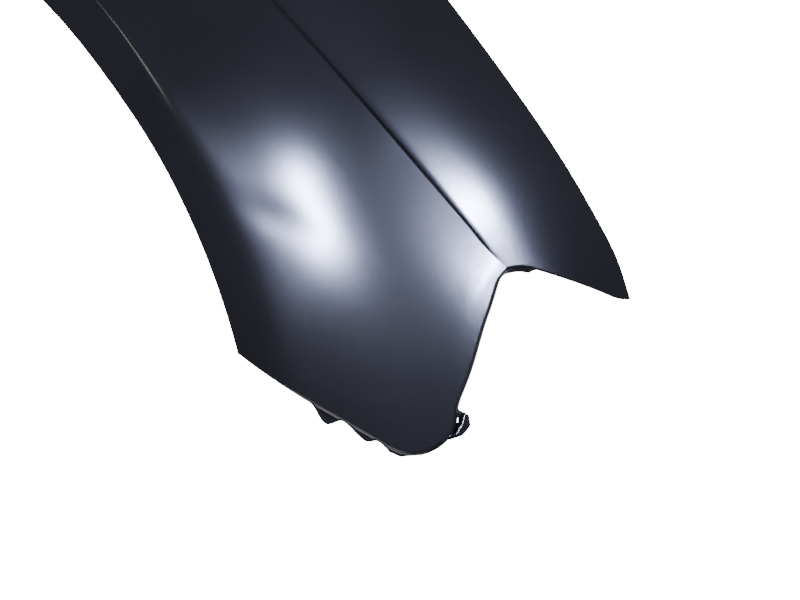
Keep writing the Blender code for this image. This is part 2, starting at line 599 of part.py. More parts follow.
def hole_cutter(origin):
    """Cutter for every hole: bolt pads, rocker flange, hinge-pillar tab, arch lip and corner tab."""
    work = bmesh.new()
    x_axis, y_axis, z_axis = np.eye(3)
    for i, pad in enumerate(PAD_X):
        length = SLOT_LENGTH if i % 2 == 0 else BOLT_HOLE
        slot_prism(work, pad_point(pad, HOLE_AHEAD) - origin, x_axis, y_axis, length, BOLT_HOLE)
    rocker_x = DOOR_X[-1] + ROCKER_HOLE_FROM_DOOR
    skin_y = side_skin(rocker_x, ROCKER_Z)[1]
    flange = np.array((rocker_x, skin_y + ROCKER_FLANGE * 0.6, ROCKER_Z))
    slot_prism(work, flange - origin, x_axis, y_axis, BOLT_HOLE, BOLT_HOLE)
    door = natural_spline(DOOR_Z[::-1] + (float(line_z(DOOR_TOP_X)),), DOOR_X[::-1] + (DOOR_TOP_X,))
    door_x = float(door(DOOR_TAB_Z))
    tab = np.array((door_x, side_skin(door_x, DOOR_TAB_Z)[1] + DOOR_TAB * 0.62, DOOR_TAB_Z))
    slot_prism(work, tab - origin, z_axis, y_axis, BOLT_HOLE, BOLT_HOLE)
    for angle in LIP_HOLE_ANGLES:
        x, z = arch_point(np.array(angle))
        lip = np.array((x, side_skin(x, z)[1] + LIP * 0.55, z))
        tangent = (-math.sin(math.radians(angle)), 0, math.cos(math.radians(angle)))
        slot_prism(work, lip - origin, tangent, y_axis, LIP_HOLE, LIP_HOLE)
    slot_prism(work, *tab_wall_point(origin), TAB_SLOT_LENGTH, TAB_SLOT_WIDTH)
    bmesh.ops.recalc_face_normals(work, faces=work.faces)
    mesh = bpy.data.meshes.new("hole_cutter")
    work.to_mesh(mesh)
    work.free()
    cutter = bpy.data.objects.new("hole_cutter", mesh)
    bpy.context.collection.objects.link(cutter)
    cutter.hide_render = True
    cutter.display_type = "WIRE"
    return cutter


def black_primer():
    """Satin black primer, baked on."""
    material = bpy.data.materials.new("black_primer")
    material.use_nodes = True
    shader = material.node_tree.nodes["Principled BSDF"]
    shader.inputs["Base Color"].default_value = (0.012, 0.012, 0.014, 1.0)
    shader.inputs["Roughness"].default_value = 0.34
    shader.inputs["Metallic"].default_value = 0.0
    return material


def fender_panel(origin):
    """The sheet: one surface given its thickness on the inside, with its holes cut."""
    points, quads = sheet_mesh()
    mesh = bpy.data.meshes.new("fender_panel")
    mesh.from_pydata((points - origin).tolist(), [], quads.tolist())
    work = bmesh.new()
    work.from_mesh(mesh)
    bmesh.ops.recalc_face_normals(work, faces=work.faces)
    work.to_mesh(mesh)
    work.free()
    mesh.shade_smooth()
    mesh.set_sharp_from_angle(angle=math.radians(SHARP_ANGLE))
    mesh.materials.append(black_primer())
    panel = bpy.data.objects.new("fender_panel", mesh)
    bpy.context.collection.objects.link(panel)
    thickness = panel.modifiers.new("sheet", "SOLIDIFY")
    thickness.thickness = SHEET
    thickness.offset = -1
    thickness.use_even_offset = True
    thickness.use_quality_normals = True
    holes = panel.modifiers.new("holes", "BOOLEAN")
    holes.operation = "DIFFERENCE"
    holes.solver = "EXACT"
    holes.object = hole_cutter(origin)
    return panel


def build():
    for item in list(bpy.data.objects):
        bpy.data.objects.remove(item)
    fender_panel(frame_origin())


build()
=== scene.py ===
"""Looks of the front fender: the stamped skin at full fineness, its satin black primer, light and camera.

Metres, +X forward, +Y to the left of the car (inboard), +Z up.  The panel's shape is the one of the
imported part.  Like that one it is laid out about the wheel centre and then moved to its own origin.
"""
import math

import bmesh
import bpy
import numpy as np
from mathutils import Matrix, Vector


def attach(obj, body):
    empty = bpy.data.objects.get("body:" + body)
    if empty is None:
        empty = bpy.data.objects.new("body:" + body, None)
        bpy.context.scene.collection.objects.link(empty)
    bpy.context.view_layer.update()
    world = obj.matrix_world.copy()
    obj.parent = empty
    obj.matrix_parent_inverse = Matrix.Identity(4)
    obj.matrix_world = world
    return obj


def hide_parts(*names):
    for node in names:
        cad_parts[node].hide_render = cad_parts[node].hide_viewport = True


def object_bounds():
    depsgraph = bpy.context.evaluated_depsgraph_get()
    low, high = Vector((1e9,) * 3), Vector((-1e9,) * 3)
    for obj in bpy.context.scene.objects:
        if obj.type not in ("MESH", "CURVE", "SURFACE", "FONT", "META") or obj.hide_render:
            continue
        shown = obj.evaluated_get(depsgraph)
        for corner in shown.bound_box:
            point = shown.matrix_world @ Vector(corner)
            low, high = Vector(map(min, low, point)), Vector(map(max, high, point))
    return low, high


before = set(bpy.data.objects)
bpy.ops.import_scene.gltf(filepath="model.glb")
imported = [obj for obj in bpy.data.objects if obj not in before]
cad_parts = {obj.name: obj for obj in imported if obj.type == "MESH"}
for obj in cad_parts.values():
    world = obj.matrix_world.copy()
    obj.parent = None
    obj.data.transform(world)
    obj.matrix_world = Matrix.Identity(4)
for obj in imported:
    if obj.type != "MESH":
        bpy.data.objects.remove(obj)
cad_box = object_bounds()

INBOARD = np.array((0.0, 1.0, 0.0))

# Sheet and bends
SHEET = 0.0008
EDGE_RADIUS = 0.0012        # bend between the skin and the wall of its rim
FOOT_RADIUS = 0.0014        # bend between a wall and the ledge or tab beyond it
FOLD_END = 0.001            # width beyond the wall where there is no ledge or tab

# Wheel arch
ARCH_RADIUS = 0.442
ARCH_RISE = 0.0075          # the arch stands higher than its circle by this at the top
ARCH_RISE_SPAN = 24.0       # degrees from the top to where the rise ends
ARCH_CENTRE_X = 0.008
ARCH_CENTRE_Z = -0.0255
ARCH_FRONT_ANGLE = 42.0
BAND_WIDTH = 0.029
BAND_TILT = 0.225           # slope of the band toward the wheel
FLARE_HEIGHT = 0.0037
FLARE_REACH = 0.0095        # the flare fades out over this distance past the band
BAND_CREASE = 0.0012        # rounding of the crease at the band's outer side
BAND_CREASE_SOFT = 0.0103   # the same at the front, where the crease washes out

# Landmarks of the arch, which the rest of the panel is laid out from: its front end, its rearmost
# point and its top
FRONT_X = ARCH_CENTRE_X + (ARCH_RADIUS + EDGE_RADIUS) * math.cos(math.radians(ARCH_FRONT_ANGLE))
FRONT_Z = ARCH_CENTRE_Z + (ARCH_RADIUS + EDGE_RADIUS) * math.sin(math.radians(ARCH_FRONT_ANGLE))
REAR_X = ARCH_CENTRE_X - ARCH_RADIUS - EDGE_RADIUS
TOP_Z = ARCH_CENTRE_Z + ARCH_RADIUS + EDGE_RADIUS + ARCH_RISE


def shifted(start, *places):
    """The places, given as distances from the start."""
    return tuple(start + place for place in places)


# The crease of the band turns from crisp to soft between these places
SOFT_FROM = FRONT_X - 0.187
SOFT_TO = FRONT_X - 0.007

# Character line: x, out, z
LINE_X = (
    shifted(REAR_X, -0.1248, 0.0852) + shifted(ARCH_CENTRE_X, -0.1080, 0.1420)
    + shifted(FRONT_X, 0.0126, 0.1626)
)
LINE_OUT = (-0.062, -0.0540, -0.0483, -0.0456, -0.0661, -0.1021)
LINE_Z = shifted(TOP_Z, 0.1968, 0.1812, 0.1411, 0.0801, 0.0091, -0.0653)

# Step under the line: distances behind the lamp corner, and the height of the step's face at each
STEP_BEHIND = (0.006, 0.0115, 0.016, 0.0205, 0.0378, 0.0467, 0.0555, 0.073, 0.094)
STEP_HEIGHTS = (0.0, 0.00125, 0.0019, 0.0022, 0.0025, 0.0028, 0.0031, 0.0035, 0.0037)
STEP_LEAST = 1e-5           # height of the face where it has run out
STEP_DEPTH = 0.0024
STEP_FADE_FROM = 0.098      # the depth fades between these distances behind the lamp corner
STEP_FADE_TO = 0.006
STEP_FADE_POWER = 0.6       # under 1 the depth holds on longer before it fades
STEP_RETURN = 0.066         # the skin comes back out over this distance under the face
LINE_LIP = 0.0006           # the skin over the line curls out by this much
LINE_LIP_REACH = 0.0040     # over this distance

# Hood edge: x, out, z
HOOD_X = (
    shifted(REAR_X, -0.1248, 0.1352) + shifted(ARCH_CENTRE_X, -0.0080, 0.1920)
    + shifted(FRONT_X, -0.0309, 0.0426, 0.1026, 0.1281, 0.1434, 0.1521, 0.1651)
)
HOOD_Z = shifted(
    TOP_Z, 0.2848, 0.2498, 0.1766, 0.1141, 0.0705, 0.0356, 0.0016, -0.0156, -0.0270, -0.0352, -0.0500,
)
HOOD_OUT = (-0.144, -0.1382, -0.1346, -0.1406, -0.1503, -0.1650)      # at the places of LINE_X

# Lean of the skin from the vertical, degrees: over the rear of the panel, and at its front
LEAN_OVER_LINE = (47.2, 57.7)
LEAN_UNDER_LINE = (34.4, 24.4)
LEAN_LOW = (6.4, 13.4)
LEAN_FROM = ARCH_CENTRE_X - 0.108
LEAN_TO = FRONT_X + 0.113
LEAN_DECAY = 0.144          # the lean under the line dies out over this distance downward
BELLY = 0.131               # how fast the skin's slope grows downward from the line

# A hollow in the skin, too shallow to feel, that splits the highlight beside the arch
HOLLOW_X = FRONT_X - 0.024
HOLLOW_Z = FRONT_Z + 0.0853
HOLLOW_DEPTH = 0.00024
HOLLOW_LENGTH = 0.024
HOLLOW_WIDTH = 0.0075

# Edges seen from the side: x, z
BUMPER_X = shifted(FRONT_X, 0.0296, 0.0685, 0.1085, 0.1238, 0.1340, 0.1399, 0.1427)
BUMPER_Z = shifted(FRONT_Z, -0.0041, -0.0087, -0.0132, -0.0137, -0.0086, -0.0007, 0.0070)
LAMP_X = shifted(FRONT_X, 0.1427, 0.1418, 0.1392, 0.1365, 0.1323, 0.1287, 0.1243, 0.1221)
LAMP_Z = shifted(FRONT_Z, 0.0070, 0.0131, 0.0194, 0.0343, 0.0566, 0.0712, 0.0915, 0.1031)
NOTCH_X = FRONT_X + 0.1231      # the lamp corner, where the character line ends

# Edge of the nose: share of the way from the line to the hood edge, and how far it lies ahead there
NOSE_T = (0.0, 0.06, 0.12, 0.19, 0.25, 0.37, 0.49, 0.62, 0.75, 0.88, 1.0)
NOSE_AHEAD = (0.0, 0.0013, 0.0032, 0.0070, 0.0113, 0.0196, 0.0268, 0.0331, 0.0379, 0.0413, 0.0417)
NOSE_REACH_BACK = 0.078     # the cross-sections behind the nose lean forward over this distance

# Door edge, and the ends of the panel
DOOR_Z = (0.45, 0.25, 0.05, -0.17)
DOOR_X = shifted(REAR_X, -0.0748, -0.0668, -0.0648, -0.0548)
DOOR_TOP_X = REAR_X - 0.089
HOOD_REAR_X = REAR_X - 0.067
HOOD_REAR_BLEND = 0.050     # the cross-sections ahead of the door lean to that end over this distance
ROCKER_Z = -0.17

# Return flanges
LIP = 0.014
DOOR_FLANGE = 0.013
DOOR_TAB = 0.030
DOOR_TAB_Z = 0.40
DOOR_HOLE_SHARE = 0.62      # of the tab's depth, to the middle of its hole
ROCKER_FLANGE = 0.024
ROCKER_HOLE_SHARE = 0.6     # of the flange's depth
ROCKER_HOLE_FROM_DOOR = 0.050
LAMP_FLANGE = 0.008
NOSE_FLANGE = 0.006
LOCATING_TAB = 0.0042
BUMPER_STEP = 0.005

# Scallops of the flange at the bumper joint: place ahead of the arch, reach behind and ahead of it, depth
LOBES = (
    (0.0716, 0.016, 0.0085, 0.0067),
    (0.0987, 0.019, 0.0065, 0.0038),
    (0.1189, 0.012, 0.0055, 0.0029),
)

# Small tab at the lower corner of the lamp opening, with its slot
TAB_WALL = 0.0085
TAB_WIDTH = 0.0062
TAB_LENGTH = 0.0122
TAB_DIRECTION = (0.80, 0.30, 0.25)
TAB_SLOT_LENGTH = 0.0036
TAB_SLOT_WIDTH = 0.0016
TAB_SLOT_UP = 0.0085
TAB_SLOT_IN = 0.0032

# Wall and bolt ledge along the hood edge, with their pads, and the holes
HOOD_WALL = 0.026
LEDGE = 0.012
PAD = 0.024
PAD_X = shifted(FRONT_X, -0.104) + shifted(ARCH_CENTRE_X, 0.0, -0.235) + shifted(REAR_X, -0.012)
PAD_HALF_LENGTH = 0.024
PAD_RAMP = 0.018
BOLT_HOLE = 0.0090
SLOT_LENGTH = 0.0150
HOLE_AHEAD = 0.011
LIP_HOLE = 0.0065
LIP_HOLE_ANGLES = (62.0, 88.0, 114.0, 140.0, 166.0)      # on the arch
LIP_HOLE_SHARE = 0.55       # of the lip's depth

# Direction of the rim's wall from each place on: zone, distance past its start, blend, direction
WALL_TURNS = (
    ("lamp", -0.002, 0.010, (-0.08, 0.98, -0.08)),
    ("lamp", 0.0131, 0.0018, (-0.54, 0.83, -0.15)),
    ("nose", -0.004, 0.014, (-0.35, 0.35, -0.87)),
    ("nose", 0.019, 0.004, (-0.88, 0.35, -0.32)),
    ("hood", 0.012, 0.024, (0.0, 0.0, -1.0)),
    ("door", 0.000, 0.030, (0.0, 1.0, 0.0)),
)

# Sizes of the rim: zone, distance past its start, depth of the wall, width of the ledge beyond it
RIM_SIZES = (
    ("bumper", 0.000, LIP, FOLD_END),
    ("bumper", 0.008, LIP, FOLD_END),
    ("bumper", 0.020, BUMPER_STEP, FOLD_END),
    ("lamp", -0.030, BUMPER_STEP, FOLD_END),
    ("lamp", -0.012, TAB_WALL * 0.2, FOLD_END),
    ("lamp", -0.004, TAB_WALL * 0.2, FOLD_END),
    ("lamp", 0.000, TAB_WALL * 0.5, TAB_WIDTH * 0.85),
    ("lamp", TAB_LENGTH * 0.5, TAB_WALL * 0.8, TAB_WIDTH),
    ("lamp", TAB_LENGTH, TAB_WALL, TAB_WIDTH * 0.5),
    ("lamp", TAB_LENGTH * 1.1, LAMP_FLANGE, FOLD_END),
    ("nose", -0.012, LAMP_FLANGE, FOLD_END),
    ("nose", -0.003, LOCATING_TAB, FOLD_END),
    ("nose", 0.017, LOCATING_TAB, FOLD_END),
    ("nose", 0.021, NOSE_FLANGE, FOLD_END),
    ("hood", 0.000, NOSE_FLANGE, FOLD_END),
    ("cowl", 0.000, HOOD_WALL, LEDGE),
    ("door", -0.010, HOOD_WALL, FOLD_END),
    ("door", 0.010, DOOR_FLANGE, FOLD_END),
    ("door_tab", -0.045, DOOR_FLANGE, FOLD_END),
    ("door_tab", -0.025, DOOR_TAB, FOLD_END),
    ("door_tab", 0.025, DOOR_TAB, FOLD_END),
    ("door_tab", 0.045, DOOR_FLANGE, FOLD_END),
    ("rocker", -0.030, DOOR_FLANGE, FOLD_END),
    ("rocker", -0.004, ROCKER_FLANGE, FOLD_END),
    ("arch", -0.004, ROCKER_FLANGE, FOLD_END),
    ("arch", 0.020, LIP, FOLD_END),
    ("end", 0.000, LIP, FOLD_END),
)

# Distances over which one form of the rim turns into the next
RIM_BLEND = 0.020
LEDGE_GROWTH = 0.050
TAB_BLEND = 0.003
TAB_LEAD = 0.007            # the ledge turns to the corner tab's direction this far before the lamp edge
LOBES_END = 0.010           # and the scallops end this far before it

# Columns of the skin's mesh, from the arch to the outer edge
TAB_STATIONS = (            # along the lamp edge, in lengths of the corner tab
    0.0, 0.08, 0.16, 0.26, 0.36, 0.46, 0.56, 0.66, 0.76, 0.85, 0.93, 0.98,
    1.0, 1.02, 1.05, 1.08, 1.11, 1.14, 1.18,
)
LAMP_CELLS = 26             # along the rest of the lamp edge
LINE_CELL = 0.0070          # greatest length of a cell along the line
NOSE_CELL = 0.0030          # and ahead of the first bolt pad
EDGE_CELL = 0.0005          # the cell beside the nose's edge
LAST_CELL = 0.004           # least length of the cell at the door edge
DOOR_CELLS = 60
LAMP_TURN = 54.0            # angle on the arch of the columns from the lamp corner
DOOR_TURN = 147.0           # and from the top of the door edge
BUMPER_SHARE = 0.12         # share of the arch whose columns bend to follow the bumper joint
ROCKER_SHARE = 0.1          # and the rocker

# Rows of the skin's mesh, along the arch and the outer edge.  The first are in widths of the band.
BAND_ROWS = (0.0, 0.12, 0.30, 0.50, 0.68, 0.80, 0.87, 0.92, 0.96, 1.0, 1.04, 1.08, 1.14, 1.22, 1.34)
SKIN_ROWS = 60
SKIN_CROWDING = 0.85        # under 1 the rows are closer together toward the outer edge
FACE_ROWS = (2.0, 1.6, 1.3, 1.1, 1.0, 0.9, 0.5, 0.1, 0.0)     # in heights of the step's face
FACE_LEAST = 0.0012         # a face lower than this counts as this high
LINE_ROWS = (0.052, 0.042, 0.033, 0.025, 0.018, 0.012, 0.0075, 0.0045, 0.0020)    # before the face rows
LINE_ROWS_SHARE = 0.35      # they take up no more than this share of the skin
STRIP_ROWS = (              # shares of the way from the line to the hood edge
    0.0, 0.006, 0.014, 0.025, 0.04, 0.07, 0.10, 0.14, 0.19, 0.25, 0.31, 0.37, 0.43, 0.49, 0.55, 0.61,
    0.67, 0.73, 0.79, 0.85, 0.90, 0.95, 0.98, 0.994, 1.0,
)

# Rows of the rim: degrees through its bend, and shares along the wall and through the bend at its foot
BEND_ROWS = (18, 36, 54, 72, 90)
WALL_ROWS = (0.35, 0.7)
FOOT_ROWS = (0, 0.25, 0.5, 0.75, 1)
FOOT_SHARE = 0.45           # the foot's bend takes up no more than this share of the wall or the ledge

# Accuracy
CURVE_SAMPLES = 60          # for each point of an edge, to measure its length
SOLVE_ROUNDS = 8            # of Newton's rule, to lay a row of the mesh on its line
TINY = 1e-4                 # the share of the way that the rule feels ahead
CLOSE = 1e-6                # a distance along the edge that counts as nothing
HOLE_SIDES = 32
CUT_DEPTH = 0.004           # of a hole's cutter, each way
SHARP_ANGLE = 23.0          # degrees between faces that meet in a crisp edge

# Primer: colour and roughness each vary between two values in soft clouds, and the peel is a fine bump
CLOUD_SCALE = 9.0
CLOUD_DETAIL = 3.0
CLOUD_FROM = 0.3
CLOUD_TO = 0.7
PRIMER_DEEP = (0.0012, 0.0012, 0.0014, 1.0)
PRIMER_PALE = (0.0018, 0.0018, 0.0020, 1.0)
PRIMER_GLOSSY = 0.122
PRIMER_DULL = 0.136
PRIMER_IOR = 1.52
PEEL_SCALE = 420.0
PEEL_DETAIL = 2.0
PEEL_STRENGTH = 0.02
PEEL_HEIGHT = 0.0004

# Camera, aimed at the middle of the front half of the panel.  Its aim is measured from the wheel centre,
# its angles are in degrees, and its lens and sensor in millimetres.
CAMERA_AIM = (0.411, 0.060, 0.338)
CAMERA_AZIMUTH = 42.0
CAMERA_ELEVATION = 18.0
CAMERA_ROLL = 16.0
CAMERA_DISTANCE = 2.6
LENS = 186.5
SENSOR_WIDTH = 36.0

# Lights: name, azimuth and elevation seen from the panel, width, height, turn, radiance, colour
BLUISH = (0.84, 0.93, 1.40)
WARM = (1.0, 1.0, 0.9)
NEUTRAL = (1.0, 1.0, 1.0)
LIGHT_DISTANCE = 4.0
LIGHTS = (
    ("near_box", -5.6, 19.0, 0.14, 0.49, 57.0, 370.0, BLUISH),
    ("long_box", 19.6, 55.1, 0.08, 5.16, -19.0, 860.0, BLUISH),
    ("low_strip", -28.5, 13.0, 0.58, 0.10, 0.0, 12.0, WARM),
    ("front_card", 0.0, -30.0, 1.6, 1.4, 0.0, 6.5, NEUTRAL),
    ("back_card", 160.0, -34.0, 3.0, 1.6, 0.0, 3.0, NEUTRAL),
)

# Surround and floor
DIM_COLOUR = (0.95, 0.93, 1.15, 1.0)
DIM_STRENGTH = 0.30
WHITE = (1.0, 1.0, 1.0, 1.0)
WHITE_STRENGTH = 20.0
FLOOR_COLOUR = (0.8, 0.8, 0.8, 1.0)
FLOOR_ROUGHNESS = 0.9
FLOOR_REACH = 30.0          # to each side


def natural_spline(knots, values):
    """The smooth curve through the points (natural cubic), straight beyond its ends."""
    knots = np.array(knots, float)
    values = np.array(values, float)
    gap = np.diff(knots)
    count = len(knots)
    system = np.eye(count)
    load = np.zeros(count)
    for i in range(1, count - 1):
        system[i, i - 1:i + 2] = (gap[i - 1], 2 * (gap[i - 1] + gap[i]), gap[i])
        load[i] = 6 * ((values[i + 1] - values[i]) / gap[i] - (values[i] - values[i - 1]) / gap[i - 1])
    bend = np.linalg.solve(system, load)
    slope_in = (values[1] - values[0]) / gap[0] - gap[0] * (2 * bend[0] + bend[1]) / 6
    slope_out = (values[-1] - values[-2]) / gap[-1] + gap[-1] * (bend[-2] + 2 * bend[-1]) / 6

    def curve(x):
        """Value of the curve at x, or at each of several."""
        x = np.asarray(x, float)
        held = np.clip(x, knots[0], knots[-1])
        i = np.clip(np.searchsorted(knots, held, side="right") - 1, 0, count - 2)
        after = held - knots[i]
        before = knots[i + 1] - held
        y = (bend[i] * before ** 3 + bend[i + 1] * after ** 3) / (6 * gap[i])
        y += (values[i] / gap[i] - bend[i] * gap[i] / 6) * before
        y += (values[i + 1] / gap[i] - bend[i + 1] * gap[i] / 6) * after
        return y + np.minimum(x - knots[0], 0) * slope_in + np.maximum(x - knots[-1], 0) * slope_out

    return curve


def ease(t):
    """0 below 0, 1 above 1, and a smooth S between."""
    t = np.clip(t, 0, 1)
    return t * t * (3 - 2 * t)


def soft_ramp(d, width):
    """0 for negative d, d for positive d, rounded over the width."""
    return width * np.logaddexp(0, d / width)


line_out = natural_spline(LINE_X, LINE_OUT)
line_z = natural_spline(LINE_X, LINE_Z)
hood_out = natural_spline(LINE_X, HOOD_OUT)
hood_z = natural_spline(HOOD_X, HOOD_Z)


def arch_edge_radius(angle):
    """Radius of the skin's edge at an angle in degrees: the opening and its bend, and a rise at the top."""
    return ARCH_RADIUS + EDGE_RADIUS + ARCH_RISE * ease(1 - np.abs(angle - 90) / ARCH_RISE_SPAN)


def arch_distance(x, z):
    """Distance outward from the arch edge, in the side view."""
    angle = np.degrees(np.arctan2(z - ARCH_CENTRE_Z, x - ARCH_CENTRE_X))
    return np.hypot(x - ARCH_CENTRE_X, z - ARCH_CENTRE_Z) - arch_edge_radius(angle)


def flare(x, z):
    """How far the wheel-arch flare stands proud: a tilted band, a crease, then an exponential fade."""
    d = arch_distance(x, z)
    softness = ease((x - SOFT_FROM) / (SOFT_TO - SOFT_FROM))
    width = BAND_CREASE + (BAND_CREASE_SOFT - BAND_CREASE) * softness
    height = FLARE_HEIGHT * np.exp(-soft_ramp(d - BAND_WIDTH, width) / FLARE_REACH)
    return height - BAND_TILT * soft_ramp(BAND_WIDTH - d, width)


def step_height(x):
    """Height of the step face, measured down from the line: it tapers off toward the lamp corner."""
    return np.interp(NOTCH_X - x, STEP_BEHIND, STEP_HEIGHTS)


def line_lip(x):
    """How far the skin over the line curls out beside it."""
    return LINE_LIP * step_height(x) / STEP_HEIGHTS[-1]


def step(x, drop):
    """How deep the skin lies under the line: a flat face between two crisp edges, and a slow return."""
    height = np.maximum(step_height(x), STEP_LEAST)
    face = np.clip(drop / height, 0, 1)
    fade = ease((NOTCH_X - STEP_FADE_TO - x) / (STEP_FADE_FROM - STEP_FADE_TO)) ** STEP_FADE_POWER
    depth = STEP_DEPTH * fade
    return depth * face * np.exp(-np.maximum(drop - height, 0) / STEP_RETURN) - line_lip(x) * (1 - face)


def lean(angles, x):
    """Lean in radians: the first angle over the rear of the panel, turning to the second at its front."""
    rear, front = angles
    return np.radians(rear + (front - rear) * ease((x - LEAN_FROM) / (LEAN_TO - LEAN_FROM)))


def hollow(x, z):
    """Depth of the shallow hollow beside the front of the wheel arch: a bell curve in both directions."""
    along = (x - HOLLOW_X) / HOLLOW_LENGTH
    across = (z - HOLLOW_Z) / HOLLOW_WIDTH
    return HOLLOW_DEPTH * np.exp(-(along ** 2 + across ** 2) / 2)


def side_skin(x, z):
    """Skin under the character line: it leans a lot at the line and the lean dies out downward, a parabola
    gives its belly, and the flare, the step and the hollow are added to it."""
    low = np.tan(lean(LEAN_LOW, x))
    high = np.tan(lean(LEAN_UNDER_LINE, x))
    drop = line_z(x) - z
    out = line_out(x) + low * drop - BELLY * drop * np.abs(drop)
    out += (high - low) * LEAN_DECAY * (1 - np.exp(-drop / LEAN_DECAY))
    out += flare(x, z) - step(x, drop) - hollow(x, z)
    return np.stack([x, -out, z], -1)


def strip_skin(x, t):
    """Skin over the line: in each cross-section a shallow arc, t = 0 on the line, 1 on the hood edge."""
    d_out = hood_out(x) - line_out(x)
    d_z = hood_z(x) - line_z(x)
    chord = np.hypot(d_out, d_z)
    slope = np.arctan2(-d_out, d_z)
    rise = chord * np.tan((slope - lean(LEAN_OVER_LINE, x)) / 2) * 2 * t * (1 - t)
    out = line_out(x) + d_out * t + rise * np.cos(slope)
    z = line_z(x) + d_z * t + rise * np.sin(slope)
    out += flare(x, z) + line_lip(x) * np.clip(1 - chord * t / LINE_LIP_REACH, 0, 1) ** 2
    return np.stack([x, -out, z], -1)


def edge_curve(xs, zs):
    """A smooth side-view curve through the points: a function of its length's share, and that length."""
    xs = np.array(xs, float)
    zs = np.array(zs, float)
    reach = np.concatenate([[0], np.cumsum(np.hypot(np.diff(xs), np.diff(zs)))])
    curve_x = natural_spline(reach, xs)
    curve_z = natural_spline(reach, zs)
    fine = np.linspace(0, reach[-1], CURVE_SAMPLES * len(xs))
    length = np.concatenate([[0], np.cumsum(np.hypot(np.diff(curve_x(fine)), np.diff(curve_z(fine))))])

    def point(share):
        """Point of the curve at a share of its length."""
        at = np.interp(share * length[-1], length, fine)
        return np.stack([curve_x(at), curve_z(at)], -1)

    return point, length[-1]


def arch_point(angle):
    """Point of the arch edge in the side view, at an angle in degrees above the horizontal."""
    turn = np.radians(angle)
    radius = arch_edge_radius(angle)
    return np.stack([ARCH_CENTRE_X + radius * np.cos(turn), ARCH_CENTRE_Z + radius * np.sin(turn)], -1)


def line_stations():
    """x of the cross-sections along the line: the ends of the bolt pads, and enough more between them."""
    fixed = [NOTCH_X, NOTCH_X - NOSE_REACH_BACK, DOOR_TOP_X]
    for pad in PAD_X:
        half = PAD_HALF_LENGTH
        behind = max(pad - half - PAD_RAMP, DOOR_TOP_X + LAST_CELL)
        fixed += [pad - half, pad, pad + half, pad + half + PAD_RAMP, behind]
    fixed = np.sort(np.array(fixed))[::-1]
    stations = []
    for a, b in zip(fixed[:-1], fixed[1:]):
        cells = max(1, math.ceil((a - b) / (NOSE_CELL if b > PAD_X[0] else LINE_CELL)))
        stations.append(np.linspace(a, b, cells + 1)[:-1])
    stations[0] = np.insert(stations[0], 1, NOTCH_X - EDGE_CELL)
    return np.concatenate(stations + [[DOOR_TOP_X]])


def outer_edge(line_x):
    """The skin's outer edge in the side view: the lamp edge, the character line and the door edge.  Returns
    its points, the angle on the arch that each is joined to, and the number of cells along each edge."""
    rear_angle = 180 + math.degrees(math.asin((ARCH_CENTRE_Z - ROCKER_Z) / (ARCH_RADIUS + EDGE_RADIUS)))
    lamp, lamp_length = edge_curve(LAMP_X + (NOTCH_X,), LAMP_Z + (float(line_z(NOTCH_X)),))
    door, _ = edge_curve((DOOR_TOP_X,) + DOOR_X, (float(line_z(DOOR_TOP_X)),) + DOOR_Z)
    line = np.stack([line_x, line_z(line_x)], -1)
    at_tab = np.array(TAB_STATIONS) * TAB_LENGTH / lamp_length
    lamp_share = np.concatenate([at_tab, np.linspace(at_tab[-1], 1, LAMP_CELLS + 1)[1:]])
    line_share = (line_x[0] - line_x) / (line_x[0] - line_x[-1])
    door_share = np.linspace(0, 1, DOOR_CELLS + 1)
    outer = np.concatenate([lamp(lamp_share), line[1:], door(door_share)[1:]])
    turns = np.concatenate([
        ARCH_FRONT_ANGLE + (LAMP_TURN - ARCH_FRONT_ANGLE) * lamp_share,
        LAMP_TURN + (DOOR_TURN - LAMP_TURN) * line_share[1:],
        np.linspace(DOOR_TURN, rear_angle, DOOR_CELLS + 1)[1:],
    ])
    return outer, turns, (len(lamp_share) - 1, len(line_x) - 1, DOOR_CELLS)


def side_columns(outer, turns):
    """The columns of the skin in the side view: straight from the arch to the outer edge, but bent to
    follow the bumper joint at the front and the rocker at the rear.  Returns them as one function of the
    share of the way outward, and their lengths."""
    arch = arch_point(turns)
    bumper, _ = edge_curve((arch[0, 0],) + BUMPER_X, (arch[0, 1],) + BUMPER_Z)
    rocker, _ = edge_curve((arch[-1, 0], outer[-1, 0]), (ROCKER_Z, ROCKER_Z))
    share = (turns - turns[0]) / (turns[-1] - turns[0])
    at_bumper = 1 - ease(share / BUMPER_SHARE)
    at_rocker = ease((share - (1 - ROCKER_SHARE)) / ROCKER_SHARE)

    def place(v):
        """Side-view points at the shares v of the way outward, rows by columns."""
        v2 = v[..., None]
        straight = arch + (outer - arch) * v2
        bend_front = bumper(v) - (arch[0] + (outer[0] - arch[0]) * v2)
        bend_rear = rocker(v) - (arch[-1] + (outer[-1] - arch[-1]) * v2)
        return straight + at_bumper[:, None] * bend_front + at_rocker[:, None] * bend_rear

    return place, np.hypot(*(outer - arch).T)


